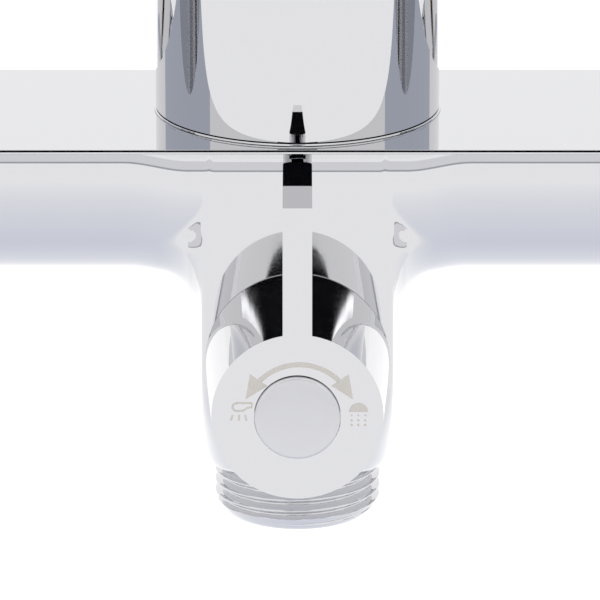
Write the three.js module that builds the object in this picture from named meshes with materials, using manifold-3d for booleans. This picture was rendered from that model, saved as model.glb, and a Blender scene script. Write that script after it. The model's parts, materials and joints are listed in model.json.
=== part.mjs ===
// Rainfall shower column: a thermostatic bar valve with a flat shelf, a diverter on its
// neck, a riser pipe, a hand-shower holder, a swinging overhead arm and a round rain head.
//
// Millimetres, +X to the right, +Y into the wall, +Z up. The origin is on the wall plane,
// midway between the two water inlets. The valve is drawn in a frame of its own, whose
// origin is on the riser's axis at the level of the shelf's top.

import * as THREE from "three";
import { mergeVertices } from "three/addons/utils/BufferGeometryUtils.js";
import Module from "manifold-3d";

const wasm = await Module();
wasm.setup();

// ---------------------------------------------------------------- driving dimensions

const FIT = 0.3; // air between two pieces that touch
const FINE = 28; // sides of a large turned piece
const ROUND = 16; // sides of a medium turned piece
const COARSE = 10; // sides of a small turned piece

const WALL = 70; // riser axis to wall
const SHELF_UP = 15; // shelf top above the inlets
const INLET_X = 75; // each inlet from the middle, 150 mm apart

const SHELF = { front: -24.7, back: 21.7, half: 104.7, thick: 1.3, corner: 2 };
const BAR = { r: 22, y: -1.5, z: -3.6, flatHalf: 105, half: 150 };
const NECK = {
  half: 15.05, front: -22.6, back: 14, top: -6, square: -47, bottom: -58.8, endR: 13.4,
};
const THREAD = {
  r: 13.22, depth: 1.1, pitch: 1.814, top: -59.1, bottom: -67.9, bore: 8.5, chamfer: 2.5,
};

const DIVERTER = { z: -35.5, rear: 22.9, front: 51, rearR: 14.5, frontR: 13.2, capR: 6.6 };
const LEVER = { half: 2.25, root: 10, back: 30, crease: 43, frontTop: 33.35, top: 34.5 };

const PIPE = { r: 12, bore: 10.8, top: 915 };
const SLEEVE = { r: 22.45, wall: 2, bottom: 1.9, top: 60 };
const ARM = { reach: 365, rise: 50, bigBend: 55, smallBend: 35, drop: 13 };
const HEAD = { r: 110, thick: 7, ballR: 11, ballDrop: 26, studR: 5.2, bore: 3 };

const HANDLE = { r: 22, length: 38, wall: 2.5, hubR: 8, capR: 9.6, bladeRise: 7, bladeHalf: 2.25 };
const BUTTON = { along: 12, stemR: 4 };
const FLANGE = { neckR: 19, r: 24, wall: 2.9 };
const BRACKET = { z: 800, clampR: 17, half: 13, postR: 7.5, rosetteR: 27, screwX: 13 };
const HOLDER = { z: 560, half: 21, r: 19, pivotY: -31, pinR: 4, cupY: -58, cupTop: 12.2, cupEnd: 10.4 };

// ------------------------------------------------------------------------- materials

const finish = (color, roughness, metalness) => () =>
  new THREE.MeshStandardMaterial({ color, roughness, metalness });

const chrome = finish(0xdfdee2, 0.06, 1);
const satin = finish(0xd6d6da, 0.35, 1);
const brass = finish(0xc9a95c, 0.35, 1);
const steel = finish(0xb9bbbe, 0.3, 1);
const plastic = finish(0xe6e6e3, 0.45, 0);
const darkPlastic = finish(0x2c2e31, 0.5, 0);
const rubber = finish(0x26272a, 0.85, 0);
const silicone = finish(0x8d9296, 0.7, 0);
const ceramic = finish(0xf1efe8, 0.25, 0);
const redPlastic = finish(0xb3202a, 0.35, 0);

// ------------------------------------------------------------------- shape functions

/** Signed area of a closed outline of [x, y] pairs. */
function signedArea(outline) {
  return outline.reduce((sum, [x, y], i) => {
    const [nextX, nextY] = outline[(i + 1) % outline.length];
    return sum + (x * nextY - nextX * y) / 2;
  }, 0);
}

/** [radius, height] pairs turned about Z, closed on the axis or on themselves. */
function turned(outline, sides = ROUND) {
  const points = outline.map(([r, z]) => new THREE.Vector2(r, z));
  const onAxis = outline[0][0] === 0 && outline.at(-1)[0] === 0;
  if (!onAxis) points.push(points[0].clone());
  if (signedArea(outline) < 0) points.reverse();
  return new THREE.LatheGeometry(points, sides).rotateX(Math.PI / 2);
}

/** A solid rod about Z. */
const rod = (r, low, high, sides = ROUND) =>
  turned([[0, low], [r, low], [r, high], [0, high]], sides);

/** A plain ring about Z. */
const ring = (inner, outer, low, high, sides = ROUND) =>
  turned([[inner, low], [outer, low], [outer, high], [inner, high]], sides);

const box = (x0, x1, y0, y1, z0, z1) =>
  new THREE.BoxGeometry(x1 - x0, y1 - y0, z1 - z0)
    .translate((x0 + x1) / 2, (y0 + y1) / 2, (z0 + z1) / 2);

/** A flat outline pushed along Z from low to high. */
function pushed(shape, low, high, curveSegments = 8) {
  const depth = high - low;
  return new THREE.ExtrudeGeometry(shape, { depth, bevelEnabled: false, curveSegments })
    .translate(0, 0, low);
}

/** A hexagonal bar about Z, across-flats size given. */
const hexBar = (acrossFlats, low, high) => rod(acrossFlats / Math.sqrt(3), low, high, 6);

/** Turns a shape drawn along Z so that it lies along another axis. */
const alongX = (geometry) => geometry.rotateY(Math.PI / 2);
const alongY = (geometry) => geometry.rotateX(-Math.PI / 2);

/** A three.js geometry as a solid for joining and cutting. */
function solid(geometry) {
  const plain = geometry.index ? geometry.toNonIndexed() : geometry.clone();
  plain.deleteAttribute("normal");
  plain.deleteAttribute("uv");
  const merged = mergeVertices(plain, 1e-4);
  const corners = merged.index.array;
  const kept = [];
  for (let i = 0; i < corners.length; i += 3) {
    const [a, b, c] = corners.slice(i, i + 3);
    if (a !== b && b !== c && c !== a) kept.push(a, b, c);
  }
  return new wasm.Manifold(
    new wasm.Mesh({
      numProp: 3,
      vertProperties: merged.attributes.position.array,
      triVerts: new Uint32Array(kept),
    }),
  );
}

/** A solid as a three.js geometry. */
function geometryOf(body) {
  const { vertProperties, triVerts } = body.getMesh();
  return new THREE.BufferGeometry()
    .setAttribute("position", new THREE.BufferAttribute(vertProperties, 3))
    .setIndex(new THREE.BufferAttribute(triVerts, 1));
}

/** Geometries joined, then others cut away. */
function made(joined, cutAway = []) {
  const whole = joined.map(solid).reduce((a, b) => a.add(b));
  return geometryOf(cutAway.map(solid).reduce((a, b) => a.subtract(b), whole));
}

function piece(name, geometry, material) {
  const mesh = new THREE.Mesh(geometry, material());
  mesh.name = name;
  return mesh;
}

function group(position, ...children) {
  const frame = new THREE.Group();
  frame.position.set(...position);
  return frame.add(...children);
}

// ------------------------------------------------------------------------ valve body

/** The neck: a rounded square section that becomes round where the outlet begins. */
function neck() {
  const rows = 9;
  const { endR } = NECK;
  const centreY = (NECK.front + NECK.back) / 2;
  const halfDepth = (NECK.back - NECK.front) / 2;
  const levels = [NECK.top, NECK.square];
  for (let i = 1; i <= rows; i++) {
    levels.push(THREE.MathUtils.lerp(NECK.square, NECK.bottom, i / rows));
  }
  const positions = [];
  for (const z of levels) {
    const t = Math.max(0, (NECK.square - z) / (NECK.square - NECK.bottom));
    const blend = 1 - Math.sqrt(1 - t * t); // a quarter-circle shoulder
    const power = THREE.MathUtils.lerp(0.5, 1, blend);
    const halfX = THREE.MathUtils.lerp(NECK.half, endR, blend);
    const halfY = THREE.MathUtils.lerp(halfDepth, endR, blend);
    const y = THREE.MathUtils.lerp(centreY, 0, blend);
    for (let i = 0; i < FINE; i++) {
      const angle = (2 * Math.PI * i) / FINE;
      const [c, s] = [Math.cos(angle), Math.sin(angle)];
      const x = halfX * Math.sign(c) * Math.abs(c) ** power;
      positions.push(x, y + halfY * Math.sign(s) * Math.abs(s) ** power, z);
    }
  }
  const index = [];
  for (let row = 0; row + 1 < levels.length; row++) {
    for (let i = 0; i < FINE; i++) {
      const [a, b] = [row * FINE + i, row * FINE + ((i + 1) % FINE)];
      index.push(a, a + FINE, b, b, a + FINE, b + FINE);
    }
  }
  const last = (levels.length - 1) * FINE;
  for (let i = 1; i + 1 < FINE; i++) {
    index.push(0, i, i + 1, last, last + i + 1, last + i);
  }
  return new THREE.BufferGeometry()
    .setAttribute("position", new THREE.Float32BufferAttribute(positions, 3))
    .setIndex(index);
}

/** The half-round middle of the bar, cut flat under the shelf plate. */
function flatBar() {
  const top = -SHELF.thick - FIT;
  const tilt = Math.asin((top - BAR.z) / BAR.r);
  const section = new THREE.Shape();
  section.absarc(BAR.y, BAR.z, BAR.r, Math.PI - tilt, tilt, false);
  section.closePath();
  const along = new THREE.Matrix4().makeBasis(
    new THREE.Vector3(0, 1, 0),
    new THREE.Vector3(0, 0, 1),
    new THREE.Vector3(1, 0, 0),
  );
  return pushed(section, -BAR.flatHalf - 1, BAR.flatHalf + 1, ROUND).applyMatrix4(along);
}

const GALLERY = { r: 5.5, y: -1.5, z: -13 };
const RISER_BOSS = { r: 10.3, bore: 7, top: 12 };
const CARTRIDGE = { bore: 15.3, floor: 108 };
const STUB = { r: 13.2, bore: 9.5, end: 27 };
const DIVERTER_BORE = { r: 11, back: 9 };
const OUTLET_BORE = { r: 10.7, top: -57 }; // a shallow register that the outlet nipple stands in

function valveBody() {
  const endPieces = [-1, 1].map((side) =>
    alongX(rod(BAR.r, BAR.flatHalf, BAR.half, FINE))
      .translate(0, BAR.y, 0)
      .rotateZ(side < 0 ? Math.PI : 0)
      .translate(0, side < 0 ? 2 * BAR.y : 0, BAR.z));
  const stubs = [-1, 1].map((side) =>
    alongY(rod(STUB.r, 12, STUB.end)).translate(side * INLET_X, 0, -SHELF_UP));
  const boreDepth = BAR.half + 1 - CARTRIDGE.floor;
  const endBores = [-1, 1].map((side) =>
    alongX(rod(CARTRIDGE.bore, -boreDepth / 2, boreDepth / 2))
      .translate(side * (CARTRIDGE.floor + boreDepth / 2), BAR.y, BAR.z));
  const stubBores = [-1, 1].map((side) =>
    alongY(rod(STUB.bore, 10, STUB.end + 1)).translate(side * INLET_X, 0, -SHELF_UP));
  const feeds = [-1, 1].map((side) =>
    alongY(rod(GALLERY.r, GALLERY.y, 11, COARSE)).translate(side * INLET_X, 0, GALLERY.z));
  return made(
    [flatBar(), ...endPieces, neck(), rod(RISER_BOSS.r, -3, RISER_BOSS.top), ...stubs],
    [
      ...endBores,
      ...stubBores,
      ...feeds,
      alongX(rod(GALLERY.r, -CARTRIDGE.floor - 1, CARTRIDGE.floor + 1, COARSE))
        .translate(0, GALLERY.y, GALLERY.z),
      rod(RISER_BOSS.bore, DIVERTER.z, RISER_BOSS.top + 1, COARSE),
      alongY(rod(DIVERTER_BORE.r, NECK.front - 1, DIVERTER_BORE.back)).translate(0, 0, DIVERTER.z),
      rod(OUTLET_BORE.r, NECK.bottom - 1, OUTLET_BORE.top),
      rod(RISER_BOSS.bore, OUTLET_BORE.top - 1, DIVERTER.z, COARSE),
    ],
  );
}

function shelfPlate() {
  const { front, back, half, thick, corner } = SHELF;
  const outline = new THREE.Shape();
  outline.absarc(half - corner, front + corner, corner, -Math.PI / 2, 0, false);
  outline.absarc(half - corner, back - corner, corner, 0, Math.PI / 2, false);
  outline.absarc(corner - half, back - corner, corner, Math.PI / 2, Math.PI, false);
  outline.absarc(corner - half, front + corner, corner, Math.PI, 1.5 * Math.PI, false);
  outline.closePath();
  const hole = new THREE.Path();
  hole.absarc(0, 0, RISER_BOSS.r + FIT, 0, 2 * Math.PI, true);
  outline.holes.push(hole);
  return pushed(outline, -thick, 0, 12);
}

/** The screwed-in hose outlet, with a true helical thread. */
function outletNipple() {
  const { r, depth, pitch, top, bottom, bore, chamfer } = THREAD;
  const spigot = OUTLET_BORE.r - FIT;
  const rowsPerTurn = 3;
  const rows = Math.round(((top - bottom - chamfer) / pitch) * rowsPerTurn);
  const outline = [[bore, OUTLET_BORE.top - FIT], [bore, bottom], [r - chamfer, bottom]];
  for (let i = 0; i <= rows; i++) {
    outline.push([r, THREE.MathUtils.lerp(bottom + chamfer, top - FIT, i / rows)]);
  }
  outline.push([r, top], [spigot, top], [spigot, OUTLET_BORE.top - FIT]);
  const geometry = turned(outline, ROUND);
  const place = geometry.attributes.position;
  for (let i = 0; i < place.count; i++) {
    const [x, y, z] = [place.getX(i), place.getY(i), place.getZ(i)];
    const onThread = Math.hypot(x, y) > r - FIT && z < top - FIT / 2;
    if (!onThread) continue;
    const turn = z / pitch - Math.atan2(y, x) / (2 * Math.PI);
    const fall = depth * 2 * Math.abs(turn - Math.round(turn));
    place.setXY(i, (x * (r - fall)) / r, (y * (r - fall)) / r);
  }
  return geometry;
}

// -------------------------------------------------------------------------- diverter
// Drawn with +Z towards the bather and +Y up, on the knob's axis.

function diverterKnob() {
  const { rear, front, rearR, frontR, capR } = DIVERTER;
  const recess = 45;
  const wall = 41.5;
  const hubBack = 28;
  const sleeve = turned([
    [12.4, rear], [rearR, rear], [frontR, front], [capR + FIT, front], [capR + FIT, recess],
    [2.2, recess], [2.2, wall], [3.3, wall], [3.3, hubBack], [6, hubBack], [6, wall], [11.6, wall],
  ], FINE);
  const rounding = 1.5;
  const fin = new THREE.Shape([
    [LEVER.root, front - 6], [LEVER.root, front], [LEVER.frontTop, front],
    [LEVER.top, LEVER.crease], [LEVER.top, LEVER.back + rounding],
    [LEVER.top - rounding, LEVER.back], [rearR - rounding / 2, LEVER.back],
    [rearR - 2 * rounding, LEVER.back + 4],
  ].map(([up, out]) => new THREE.Vector2(-out, up)));
  const blade = pushed(fin, -LEVER.half, LEVER.half).rotateY(Math.PI / 2);
  return made([sleeve, blade]);
}

function diverter() {
  const { capR } = DIVERTER;
  const spindle = turned([
    [0, 0], [3, 0], [3, 41.2], [2.2, 41.2], [2.2, 35.5], [0, 35.5],
  ], COARSE);
  const screw = turned([
    [0, 36], [1.9, 36], [1.9, 45.3], [3.8, 45.3], [3.8, 47.5], [0, 47.5],
  ], COARSE);
  const cap = turned([
    [0, 47.8], [capR, 47.8], [capR, 51.8], [capR - 0.4, 52.4], [capR - 1.4, 52.7], [0, 52.9],
  ], ROUND);
  const cartridge = turned([
    [3.3, 14], [10.7, 14], [10.7, -8.5], [9, -8.5], [9, FIT], [3.3, FIT],
  ], ROUND);
  const nut = made(
    [ring(5, 10.7, 14.3, 18), hexBar(18, 17.5, 21.5)],
    [rod(5, 14, 22)],
  );
  const front = group(
    [0, 0, DIVERTER.z],
    piece("diverter_cartridge", cartridge, darkPlastic),
    piece("diverter_cartridge_nut", nut, brass),
    piece("diverter_fixed_disc", ring(2, 8.6, -8.2, -4.4, COARSE), ceramic),
    piece("diverter_moving_disc", ring(2, 8.6, -4.1, -0.3, COARSE), ceramic),
    piece("diverter_spindle", spindle, brass),
    piece("diverter_knob", diverterKnob(), chrome),
    piece("diverter_screw", screw, steel),
    piece("diverter_cap", cap, satin),
  );
  front.rotation.x = Math.PI / 2;
  return front;
}

// ---------------------------------------------------------------------- end controls
// Each drawn with +Z out of the bar's end, and turned to the left or the right.

function handleBody(bladeAngle, buttonAngle) {
  const { r, length, wall, hubR, capR, bladeRise, bladeHalf } = HANDLE;
  const recess = capR + FIT;
  const floor = length - 5.5;
  const stemR = 4 + FIT;
  const cup = turned([
    [r - wall, FIT], [r, FIT], [r, length - 1], [r - 1, length], [recess, length],
    [recess, floor], [stemR, floor], [stemR, hubR], [hubR, hubR], [hubR, floor - 3],
    [r - wall, floor - 3],
  ], FINE);
  const blade = box(r - 2, r + bladeRise, -bladeHalf, bladeHalf, 9, length - 1)
    .rotateZ(bladeAngle);
  const cut = buttonAngle === undefined
    ? []
    : [alongX(rod(BUTTON.stemR + FIT, 15, 30, COARSE))
      .translate(0, 0, BUTTON.along).rotateZ(buttonAngle)];
  return made([cup, blade], cut);
}

function handleFixings(prefix) {
  const cap = turned([
    [0, 35.3], [HANDLE.capR, 35.3], [HANDLE.capR, 37.8], [HANDLE.capR - 1, 38.3], [0, 38.5],
  ], ROUND);
  const spindle = turned([
    [0, -20], [4, -20], [4, 31.4], [3.2, 32.2], [0, 32.2],
  ], COARSE);
  return [
    piece(prefix + "_cap", cap, satin),
    piece(prefix + "_spindle", spindle, brass),
  ];
}

/** A cartridge in its bore: a hollow at the inner end, and a stem hole to the outside. */
const cartridgeBody = () => turned([
  [9, -41], [15, -41], [15, -8.3], [4.3, -8.3], [4.3, -20.3], [9, -20.3],
], ROUND);

const cartridgeNut = () => made(
  [ring(10, 15, -8, -0.8), ring(10, 12.4, -1.5, 3)],
);

function flowControl() {
  const end = group(
    [-BAR.half, BAR.y, BAR.z],
    piece("flow_handle", handleBody(-Math.PI / 2), chrome),
    ...handleFixings("flow"),
    piece("flow_cartridge", cartridgeBody(), darkPlastic),
    piece("flow_cartridge_nut", cartridgeNut(), brass),
    piece("flow_moving_disc", ring(2, 8.6, -24.4, -20.6, COARSE), ceramic),
    piece("flow_fixed_disc", ring(2, 8.6, -28.6, -24.8, COARSE), ceramic),
  );
  end.rotation.y = -Math.PI / 2;
  return end;
}

function temperatureControl() {
  const button = turned([
    [0, 15.6], [5.2, 15.6], [5.2, 18.4], [BUTTON.stemR, 18.4], [BUTTON.stemR, 23.2],
    [3.4, 23.6], [0, 23.8],
  ], COARSE);
  const end = group(
    [BAR.half, BAR.y, BAR.z],
    piece("temperature_handle", handleBody(-Math.PI / 2, Math.PI), chrome),
    ...handleFixings("temperature"),
    piece("thermostat_cartridge", cartridgeBody(), plastic),
    piece("thermostat_nut", cartridgeNut(), brass),
    piece("thermostat_piston", ring(2, 8.6, -38, -24, COARSE), steel),
    piece("temperature_stop_ring", ring(12.8, 18.8, 0.5, 3.4), darkPlastic),
    piece("safety_button", alongX(button).rotateZ(Math.PI).translate(0, 0, BUTTON.along), redPlastic),
  );
  end.rotation.y = Math.PI / 2;
  return end;
}

// ---------------------------------------------------------------------- wall inlets
// Each drawn with +Z towards the wall, from the riser's axis.

function inlet(prefix, side) {
  const step = 6; // the connector's offset between the wall pipe and the nut
  const waterway = 7.5;
  const nut = made([hexBar(30, 27.6, 46)], [rod(13.5, 27, 41.3), rod(11.2, 41, 47)]);
  const connector = made(
    [
      rod(13.1, 30.6, 41),
      rod(10.9, 40, 50),
      rod(15, 49, 55),
      rod(10.3, 54, WALL).translate(0, -step, 0),
    ],
    [
      rod(waterway, 30, 52, COARSE),
      rod(waterway, 50, WALL + 1, COARSE).translate(0, -step, 0),
    ],
  );
  const { neckR, r, wall } = FLANGE;
  const flange = turned([
    [neckR - 2, 46.6], [neckR, 46.6], [r - 4, 52], [r, WALL], [r - 5.5, WALL],
    [r - 5.5, WALL - 2], [r - wall, WALL - 2], [r - 3 - wall, 53.4], [neckR - 2, 48.2],
  ], FINE);
  const fitting = group(
    [side * INLET_X, 0, -SHELF_UP],
    piece(prefix + "_union_nut", nut, chrome),
    piece(prefix + "_filter_washer", ring(waterway, 12.9, 28, 30.3, COARSE), rubber),
    piece(prefix + "_check_valve", ring(3.5, 9.2, 12, 26.6, COARSE), plastic),
    piece(prefix + "_connector", connector, brass),
    piece(prefix + "_wall_flange", flange, chrome),
  );
  fitting.rotation.x = -Math.PI / 2;
  return fitting;
}

// ----------------------------------------------------------------------------- riser

function riser() {
  const sleeveInner = SLEEVE.r - SLEEVE.wall;
  const tailBore = 7.2;
  const sleeve = turned([
    [sleeveInner, SLEEVE.bottom], [SLEEVE.r, SLEEVE.bottom], [SLEEVE.r, SLEEVE.top - 1.2],
    [SLEEVE.r - 1.2, SLEEVE.top], [PIPE.r + 0.4, SLEEVE.top], [PIPE.r + 0.4, SLEEVE.top - 2.5],
    [sleeveInner, SLEEVE.top - 2.5],
  ], FINE);
  const nut = made([hexBar(27, 3, 24)], [rod(10.7, 2, 18), rod(9, 17, 25)]);
  const pipe = turned([
    [tailBore, 14.9], [10.2, 14.9], [10.2, 17.6], [8.6, 17.6], [8.6, 26], [PIPE.r, 32],
    [PIPE.r, PIPE.top - 24], [PIPE.r + 2, PIPE.top - 22], [PIPE.r + 2, PIPE.top - 2],
    [PIPE.r, PIPE.top], [PIPE.bore, PIPE.top], [PIPE.bore, 34], [tailBore, 27],
  ], ROUND);
  return [
    piece("riser_foot_ring", ring(20, 22.8, FIT, 1.6, FINE), chrome),
    piece("riser_sleeve", sleeve, chrome),
    piece("riser_union_nut", nut, brass),
    piece("riser_washer", ring(tailBore, 10.1, RISER_BOSS.top + FIT, 14.6, COARSE), rubber),
    piece("riser_pipe", pipe, chrome),
  ];
}

// --------------------------------------------------------------- upper wall bracket
// Drawn with +Z towards the wall, from the riser's axis.

function upperBracket() {
  const { clampR, half, postR, rosetteR, screwX } = BRACKET;
  const socket = postR + FIT;
  const clamp = made(
    [
      rod(clampR, -half, half).rotateX(Math.PI / 2),
      rod(postR + 3, 12, 34),
    ],
    [
      rod(PIPE.r + FIT, -half - 1, half + 1).rotateX(Math.PI / 2),
      rod(socket, 16, 35),
    ],
  );
  const rosette = turned([
    [socket, 54], [rosetteR - 5, 54], [rosetteR - 1, 58], [rosetteR, WALL],
    [rosetteR - 4.5, WALL], [rosetteR - 4.5, 58.5], [rosetteR - 6.5, 56.5], [socket, 56.5],
  ], FINE);
  const plate = made(
    [ring(4, 20, 66.5, WALL)],
    [-1, 1].map((side) => rod(2.6, 60, WALL + 1, COARSE).translate(screwX * side, 0, 0)),
  );
  const screw = () => turned([
    [0, 62.8], [4.2, 62.8], [4.2, 66.2], [2.3, 66.2], [2.3, WALL], [0, WALL],
  ], COARSE);
  const bracket = group(
    [0, 0, BRACKET.z],
    piece("bracket_clamp", clamp, chrome),
    piece("bracket_post", rod(postR, 18, 66.2), chrome),
    piece("bracket_rosette", rosette, chrome),
    piece("bracket_wall_plate", plate, steel),
    piece("bracket_left_screw", screw().translate(-screwX, 0, 0), steel),
    piece("bracket_right_screw", screw().translate(screwX, 0, 0), steel),
  );
  bracket.rotation.x = -Math.PI / 2;
  return bracket;
}

// ---------------------------------------------------------------- hand-shower holder

function handShowerHolder() {
  const { half, r, pivotY, pinR, cupY, cupTop, cupEnd } = HOLDER;
  const pinHole = pinR + 0.4;
  const slider = made(
    [
      rod(r, -half, half, FINE),
      box(-9, 9, pivotY, -15, -9, 9),
      alongX(rod(9, -9, 9)).translate(0, pivotY, 0),
      alongX(rod(9.5, 12, 25)),
    ],
    [
      rod(13.7, -half - 1, half + 1),
      alongX(rod(pinHole, -12, 12, COARSE)).translate(0, pivotY, 0),
      alongX(rod(pinHole, 12, 26, COARSE)),
    ],
  );
  const cupHalf = 17;
  const cupWall = 3.1;
  const cup = turned([
    [cupTop, cupHalf], [cupTop + cupWall, cupHalf], [cupEnd + cupWall, -cupHalf],
    [cupEnd, -cupHalf],
  ], ROUND);
  const taper = turned([
    [0, cupHalf + 1], [cupTop, cupHalf + 1], [cupTop, cupHalf], [cupEnd, -cupHalf],
    [cupEnd, -cupHalf - 1], [0, -cupHalf - 1],
  ]);
  const ears = [-1, 1].map((side) => {
    const [low, high] = [side * 11 - 1.7, side * 11 + 1.7];
    return made([
      alongX(rod(9, low, high)).translate(0, pivotY, 0),
      box(low, high, cupY + 9, pivotY, -7, 7),
    ]);
  });
  const slot = box(-6.5, 6.5, cupY - 20, cupY - 5, -20, 20);
  const cradle = made(
    [cup.translate(0, cupY, 0), ...ears],
    [
      slot,
      taper.translate(0, cupY, 0),
      alongX(rod(pinHole, -16, 16, COARSE)).translate(0, pivotY, 0),
    ],
  );
  const knob = made([
    alongX(turned([[0, 25.4], [11, 25.4], [13, 28], [13, 39], [11.6, 41], [0, 41.4]])),
    alongX(rod(pinR, 14.2, 26, COARSE)),
  ]);
  const pin = alongX(rod(pinR, -13.6, 13.6, COARSE)).translate(0, pivotY, 0);
  return group(
    [0, 0, HOLDER.z],
    piece("holder_slider", slider, chrome),
    piece("holder_bush", ring(PIPE.r + FIT, 13.3, -half, half), darkPlastic),
    piece("holder_lock_knob", knob, chrome),
    piece("holder_cradle", cradle, chrome),
    piece("holder_pivot_pin", pin, steel),
  );
}

// ------------------------------------------------------------- overhead arm and head

/** The arm's centre line: up, forwards over a wide bend, and down at the end. */
class ArmLine extends THREE.Curve {
  constructor() {
    super();
    const { reach, rise, bigBend, smallBend, drop } = ARM;
    this.start = PIPE.top + FIT;
    this.straight = reach - bigBend - smallBend;
    const quarter = Math.PI / 2;
    this.parts = [rise, bigBend * quarter, this.straight, smallBend * quarter, drop];
    this.whole = this.parts.reduce((a, b) => a + b);
  }
  getPoint(t, target = new THREE.Vector3()) {
    const { rise, bigBend, smallBend, reach } = ARM;
    let s = t * this.whole;
    let i = 0;
    while (i < 4 && s > this.parts[i]) s -= this.parts[i++];
    const knee = this.start + rise;
    const level = knee + bigBend;
    if (i === 0) return target.set(0, 0, this.start + s);
    if (i === 1) {
      const a = s / bigBend;
      return target.set(0, -bigBend * (1 - Math.cos(a)), knee + bigBend * Math.sin(a));
    }
    if (i === 2) return target.set(0, -bigBend - s, level);
    if (i === 3) {
      const a = s / smallBend;
      return target.set(0, smallBend * (1 - Math.sin(a)) - reach,
        level - smallBend * (1 - Math.cos(a)));
    }
    return target.set(0, -reach, level - smallBend - s);
  }
}

function overheadArm() {
  const section = new THREE.Shape();
  section.absarc(0, 0, PIPE.r, 0, 2 * Math.PI, false);
  const bore = new THREE.Path();
  bore.absarc(0, 0, PIPE.bore, 0, 2 * Math.PI, true);
  section.holes.push(bore);
  const tube = new THREE.ExtrudeGeometry(section, {
    extrudePath: new ArmLine(), steps: 24, curveSegments: 6, bevelEnabled: false,
  });
  const spigotR = PIPE.bore - 0.4;
  const spigotBore = 8.6;
  const spigot = ring(spigotBore, spigotR, PIPE.top - 22, PIPE.top + 2);
  const shoulder = ring(spigotBore, PIPE.r - 0.4, PIPE.top + FIT, PIPE.top + 4);
  return made([tube, spigot, shoulder]);
}

function rainHead() {
  const { r, thick, ballR, ballDrop, studR, bore } = HEAD;
  const armEnd = PIPE.top + FIT + ARM.rise + ARM.bigBend - ARM.smallBend - ARM.drop;
  const seatR = ballR + FIT;
  const arcOf = (radius, from, to, steps) =>
    Array.from({ length: steps + 1 }, (_, i) => {
      const a = THREE.MathUtils.degToRad(THREE.MathUtils.lerp(from, to, i / steps));
      return [radius * Math.cos(a), radius * Math.sin(a)];
    });
  const stud = turned([
    [bore, -ballR + 0.5], ...arcOf(ballR, -70, 60, 6), [studR, 12], [studR, ballDrop - 10],
    [11.6, ballDrop - 9], [11.6, ballDrop - FIT], [PIPE.bore - 0.9, ballDrop - FIT],
    [PIPE.bore - 0.9, ballDrop + 7], [bore, ballDrop + 7],
  ], ROUND);
  const nut = turned([
    [13.6, -7], [17.5, -7], [17.5, 5.5], [16, 8.2], ...arcOf(seatR, 40, 12, 3),
    [13.6, 1.4],
  ], ROUND);
  const seat = turned([
    ...arcOf(seatR, -48, -2, 3), [13.2, -0.4], [13.2, -10.4], [7.5, -10.4],
  ], ROUND);
  const neckTop = -10.8;
  const rim = -26;
  const shell = turned([
    [6, neckTop], [13.2, neckTop], [13.2, neckTop - 3], [18.5, neckTop - 3.6],
    [22, rim + thick + 1.6], [60, rim + thick - 1], [r - 4, rim + 4.6], [r, rim + 2], [r, rim],
    [r - 2.2, rim], [r - 2.2, rim + 2.2], [58, rim + thick - 3.2], [18, rim + thick - 1.6],
    [6, neckTop - 6],
  ], FINE);
  const plateR = r - 2.5;
  const head = group(
    [0, -ARM.reach, armEnd - ballDrop],
    piece("head_ball_stud", stud, chrome),
    piece("head_ball_seat", seat, darkPlastic),
    piece("head_ball_nut", nut, chrome),
    piece("rain_head_shell", shell, chrome),
    piece("rain_head_nozzle_mat", rod(plateR - 3, rim + 0.7, rim + 1.9, FINE), silicone),
    piece("rain_head_face_plate", ring(0.001, plateR, rim - 0.8, rim + 0.4, FINE), satin),
  );
  return head;
}

// -------------------------------------------------------------------------- assembly

const valve = group(
  [0, -WALL, SHELF_UP],
  piece("valve_body", valveBody(), chrome),
  piece("shelf_plate", shelfPlate(), chrome),
  piece("outlet_nipple", outletNipple(), chrome),
  diverter(),
  flowControl(),
  temperatureControl(),
  inlet("left", -1),
  inlet("right", 1),
  ...riser(),
  upperBracket(),
  handShowerHolder(),
  piece("overhead_arm", overheadArm(), chrome),
  rainHead(),
);

const column = new THREE.Group();
column.add(valve);

export default column;
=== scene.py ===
# The looks of a rainfall shower column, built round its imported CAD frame.
#
# Lengths are millimetres in a valve frame, whose origin is on the riser's axis at the level
# of the shelf's top: +X right, +Y towards the wall, +Z up. place() puts a finished piece
# into the row frame, in metres.

import json
import math

import bpy
import numpy as np
from mathutils import Matrix, Vector


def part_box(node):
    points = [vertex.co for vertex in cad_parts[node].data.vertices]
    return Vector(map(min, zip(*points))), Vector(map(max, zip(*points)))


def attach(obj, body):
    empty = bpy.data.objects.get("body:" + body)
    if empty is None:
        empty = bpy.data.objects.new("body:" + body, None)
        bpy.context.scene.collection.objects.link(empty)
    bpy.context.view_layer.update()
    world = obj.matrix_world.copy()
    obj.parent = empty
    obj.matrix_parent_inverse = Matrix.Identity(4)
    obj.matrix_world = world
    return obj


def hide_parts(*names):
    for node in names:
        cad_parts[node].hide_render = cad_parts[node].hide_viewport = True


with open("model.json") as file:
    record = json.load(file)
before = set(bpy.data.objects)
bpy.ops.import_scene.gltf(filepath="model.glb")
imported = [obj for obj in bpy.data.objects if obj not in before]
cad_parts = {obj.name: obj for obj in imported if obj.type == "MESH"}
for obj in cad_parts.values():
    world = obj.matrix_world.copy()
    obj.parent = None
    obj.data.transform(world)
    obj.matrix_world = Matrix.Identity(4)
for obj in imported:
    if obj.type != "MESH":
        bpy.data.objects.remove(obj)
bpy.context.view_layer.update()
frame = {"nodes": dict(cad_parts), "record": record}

MM = 0.001
RISER_LOW, RISER_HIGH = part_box("riser_pipe")
SHELF_LOW, SHELF_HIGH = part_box("shelf_plate")
BODY_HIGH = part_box("valve_body")[1]
ORIGIN = Vector((0, (RISER_LOW.y + RISER_HIGH.y) / 2, SHELF_HIGH.z))


def from_origin(point):
    """A point of the row frame, in millimetres from the valve's origin."""
    return (point - ORIGIN) / MM


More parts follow.
